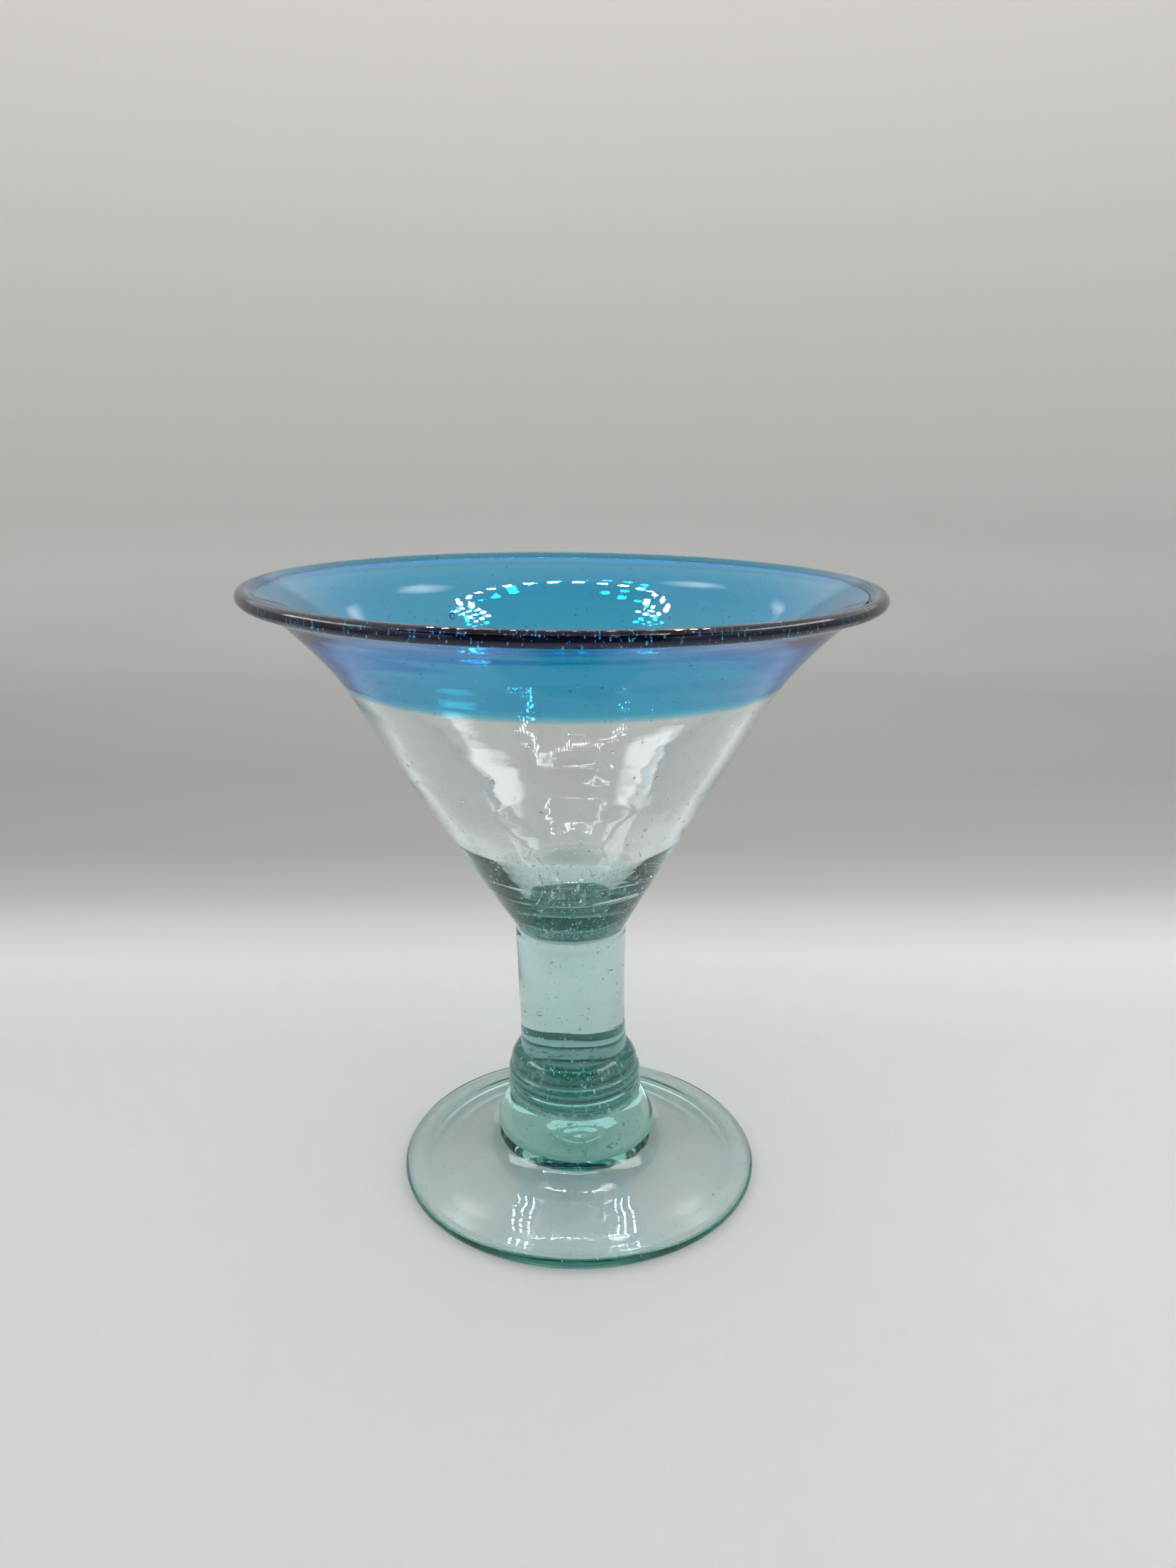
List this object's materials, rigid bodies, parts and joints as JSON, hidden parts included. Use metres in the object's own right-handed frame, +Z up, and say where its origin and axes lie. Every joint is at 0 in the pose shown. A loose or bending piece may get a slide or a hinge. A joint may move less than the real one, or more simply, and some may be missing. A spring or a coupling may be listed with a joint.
{
  "type": "margarita glass",
  "caption": "Hand-blown margarita glass: flared cone bowl with a turquoise band and dark bead lip, thick solid stem with a knop and hub, wide shallow foot.",
  "frame": {"origin": "middle of the foot, on the table that the glass stands on", "axes": "+Z up, from the foot towards the lip; the picture looks along +Y, and the hand-blown glass leans 5.1 mm towards -X by its lip"},
  "size_m": [0.152, 0.152, 0.158],
  "materials": {
    "foot_glass": "glossy, faintly green recycled glass with seed bubbles and concentric tool ripples",
    "stem_glass": "glossy, pale green recycled glass, solid, with seed bubbles",
    "base_glass": "glossy, green where the glass is thick, crowded with seed bubbles",
    "wall_glass": "glossy, almost clear recycled glass with seed bubbles",
    "band_glass": "glossy turquoise glass, drawn out to a feather edge below",
    "lip_glass": "glossy, fire-rounded turquoise glass, near black where it is seen through its length"
  },
  "bodies": {
    "root": {"foot_disc": "foot_glass", "foot_hub": "stem_glass", "knop": "stem_glass", "stem": "stem_glass", "bowl_base": "base_glass", "bowl_wall": "wall_glass", "colour_band": "band_glass", "rim_bead": "lip_glass"}
  },
  "joints": []
}
